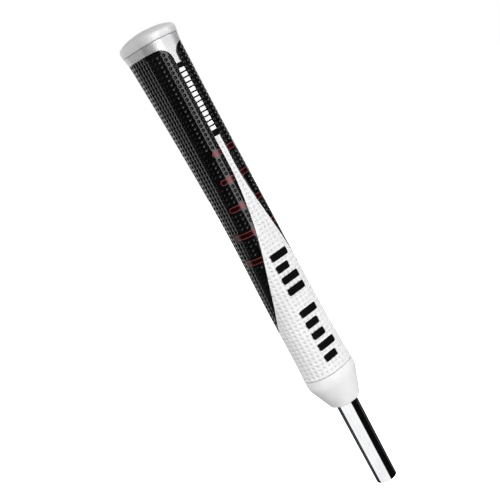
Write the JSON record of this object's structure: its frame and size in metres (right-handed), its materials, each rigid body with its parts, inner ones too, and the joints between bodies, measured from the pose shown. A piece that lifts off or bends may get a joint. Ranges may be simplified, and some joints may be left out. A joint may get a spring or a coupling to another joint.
{
  "type": "putter grip",
  "caption": "Pistol-shaped putter grip with a dimpled two-colour skin, crowned end cap and tapered lower collar, fitted on the butt end of a chromed steel shaft.",
  "frame": {"origin": "centre of the shaft's cut end, on the bore axis", "axes": "+Z along the bore axis towards the end cap; the flat front of the grip faces -Y and its deep rounded back faces +Y; the grip is symmetric about X = 0"},
  "size_m": [0.0372, 0.0466, 0.3317],
  "materials": {
    "cap_silver": "satin silver-white paint on moulded plastic",
    "skirt_silver": "satin silver-white paint on moulded plastic",
    "black_skin": "embossed black polyurethane with round dimples and dark red outlined slots",
    "white_skin": "embossed white polyurethane with round dimples and plain black bars",
    "white_collar": "smooth satin white rubber",
    "felt": "thin non-woven felt",
    "foam": "closed-cell foam",
    "tape": "double-sided paper tape",
    "shaft_chrome": "polished chrome plate on steel"
  },
  "bodies": {
    "root": {"end_cap": "cap_silver", "cap_skirt": "skirt_silver", "skin_black": "black_skin", "skin_white": "white_skin", "lower_collar": "white_collar", "felt_backing": "felt", "foam_core": "foam", "grip_tape": "tape", "shaft": "shaft_chrome"}
  },
  "joints": []
}
